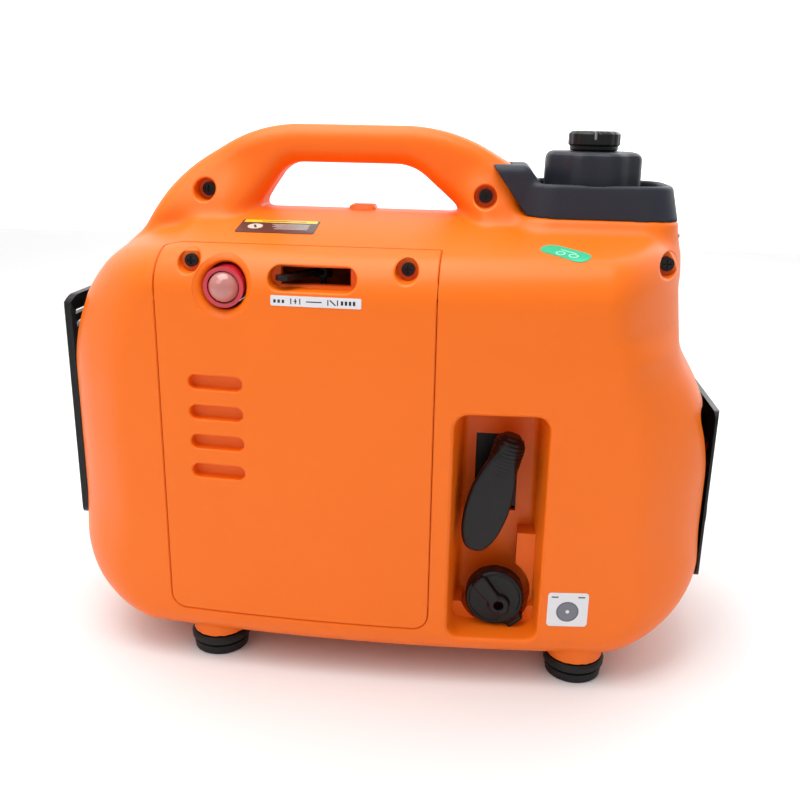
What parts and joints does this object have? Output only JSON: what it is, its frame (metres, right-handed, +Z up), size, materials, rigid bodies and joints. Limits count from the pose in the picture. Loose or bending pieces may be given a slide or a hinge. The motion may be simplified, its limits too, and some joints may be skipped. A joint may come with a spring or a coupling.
{
  "type": "portable generator",
  "caption": "Suitcase-style petrol inverter generator with a moulded two-half case, arched carrying handle, service door, recoil starter, filler cap and control panel.",
  "frame": {"origin": "ground plane, middle of the case's length and width", "axes": "+X to the control panel end, -Y to the side with the service door and starter, +Z up"},
  "size_m": [0.45, 0.2344, 0.356],
  "materials": {
    "case_plastic": "fine satin moulding",
    "black_plastic": "satin",
    "collar_plastic": "fine texture",
    "grip_rubber": "matt",
    "foot_rubber": "matt",
    "fan_plastic": "satin",
    "black_screw": "black oxide",
    "zinc_steel": "zinc plated",
    "forged_steel": "machined",
    "muffler_steel": "heat-proof paint",
    "cast_aluminium": "as cast",
    "lamination_steel": "varnished",
    "copper_wire": "enamelled wire",
    "coil_plastic": "potted",
    "tank_plastic": "blow-moulded",
    "foam": "open foam",
    "rope": "braided",
    "bulb_plastic": "clear",
    "red_plastic": "gloss",
    "brass_part": "turned",
    "lamp_plastic": "gloss",
    "label_film": "printed film"
  },
  "bodies": {
    "case": {"near_shell": "case_plastic", "far_shell": "case_plastic", "control_panel": "black_plastic", "exhaust_louvre": "black_plastic", "rope_guide": "black_plastic", "air_filter_box": "black_plastic", "plug_cap": "black_plastic", "dc_socket": "black_plastic", "ac_socket": "black_plastic", "tank_collar": "collar_plastic", "rubber_feet": "foot_rubber", "engine_mounts": "foot_rubber", "fuel_hose": "foot_rubber", "fan_shroud": "fan_plastic", "shell_screws": "black_screw", "foot_screws": "zinc_steel", "base_plate": "zinc_steel", "recoil_housing": "zinc_steel", "recoil_spring": "zinc_steel", "spark_plug": "zinc_steel", "crank_bearings": "zinc_steel", "muffler": "muffler_steel", "crankcase": "cast_aluminium", "cylinder_barrel": "cast_aluminium", "cylinder_head": "cast_aluminium", "carburettor": "cast_aluminium", "fuel_cock_body": "cast_aluminium", "inverter_module": "cast_aluminium", "stator_core": "lamination_steel", "stator_coils": "copper_wire", "ignition_coil": "coil_plastic", "fuel_tank": "tank_plastic", "filter_element": "foam", "primer_base": "red_plastic", "earth_terminal": "brass_part", "indicator_lamps": "lamp_plastic", "case_labels": "label_film"},
    "door": {"service_door": "case_plastic", "door_screws": "black_screw", "choke_label": "label_film"},
    "cap_seal": {"cap_gasket": "foot_rubber"},
    "cap": {"fuel_cap": "black_plastic"},
    "vent_knob": {"cap_vent_knob": "black_plastic"},
    "choke": {"choke_lever": "black_plastic", "choke_plate": "zinc_steel"},
    "throttle": {"throttle_valve": "zinc_steel"},
    "primer": {"primer_bulb": "bulb_plastic"},
    "fuel_cock": {"fuel_cock_knob": "black_plastic"},
    "grip": {"starter_grip": "grip_rubber", "starter_rope": "rope"},
    "pulley": {"recoil_pulley": "black_plastic", "rope_coil": "rope"},
    "crank": {"crankshaft": "forged_steel", "rotor": "forged_steel", "cooling_fan": "fan_plastic"},
    "piston_group": {"piston": "cast_aluminium"},
    "oil_filler": {"oil_cap": "black_plastic"},
    "breaker": {"breaker_button": "red_plastic"},
    "mode_switch": {"engine_switch": "black_plastic"},
    "eco": {"eco_switch": "black_plastic"}
  },
  "joints": [
    {"name": "door_off", "type": "slide", "parent": "case", "child": "door", "axis": [0, -1, 0], "range_m": [0, 0.12]},
    {"name": "cap_lift", "type": "slide", "parent": "case", "child": "cap_seal", "axis": [0, 0, 1], "range_m": [0, 0.06]},
    {"name": "cap_turn", "type": "hinge", "parent": "cap_seal", "child": "cap", "pos_m": [0.13, 0, 0.33], "axis": [0, 0, 1], "range_deg": [0, 180]},
    {"name": "vent_turn", "type": "hinge", "parent": "cap", "child": "vent_knob", "pos_m": [0.13, 0, 0.345], "axis": [0, 0, 1], "range_deg": [0, 90]},
    {"name": "choke_turn", "type": "hinge", "parent": "case", "child": "choke", "pos_m": [-0.039, -0.077, 0.268], "axis": [0, 0, 1], "range_deg": [0, 60]},
    {"name": "throttle_turn", "type": "hinge", "parent": "case", "child": "throttle", "pos_m": [-0.039, -0.054, 0.206], "axis": [1, 0, 0], "range_deg": [0, 80]},
    {"name": "primer_push", "type": "slide", "parent": "case", "child": "primer", "axis": [0, 1, 0], "range_m": [0, 0.004], "stiffness_N_per_m": 400},
    {"name": "fuel_cock_turn", "type": "hinge", "parent": "case", "child": "fuel_cock", "pos_m": [0.079, -0.09, 0.058], "axis": [0, 1, 0], "range_deg": [-90, 0]},
    {"name": "starter_pull", "type": "slide", "parent": "case", "child": "grip", "axis": [0, -1, 0], "range_m": [0, 0.5], "stiffness_N_per_m": 12, "springref_m": -0.3, "deforming": ["starter_rope"]},
    {"name": "pulley_turn", "type": "hinge", "parent": "case", "child": "pulley", "pos_m": [0.0735, 0, 0.095], "axis": [1, 0, 0], "range_deg": [0, 775]},
    {"name": "crank_turn", "type": "hinge", "parent": "case", "child": "crank", "pos_m": [-0.06, 0, 0.095], "axis": [1, 0, 0], "continuous": true},
    {"name": "piston_slide", "type": "slide", "parent": "case", "child": "piston_group", "axis": [0, 0, 1], "range_m": [-0.016, 0.016]},
    {"name": "oil_cap_turn", "type": "hinge", "parent": "case", "child": "oil_filler", "pos_m": [-0.06, -0.055, 0.068], "axis": [0, -1, 0], "range_deg": [0, 360]},
    {"name": "breaker_push", "type": "slide", "parent": "case", "child": "breaker", "axis": [-1, 0, 0], "range_m": [0, 0.003], "stiffness_N_per_m": 400},
    {"name": "engine_switch_turn", "type": "hinge", "parent": "case", "child": "mode_switch", "pos_m": [0.217, 0.036, 0.157], "axis": [-1, 0, 0], "range_deg": [0, 60]},
    {"name": "eco_tilt", "type": "hinge", "parent": "case", "child": "eco", "pos_m": [0.214, 0.002, 0.157], "axis": [0, 1, 0], "range_deg": [0, 16]}
  ],
  "couplings": [
    {"joint": "pulley_turn", "follows": "starter_pull", "rad_per_m": 27.027}
  ]
}
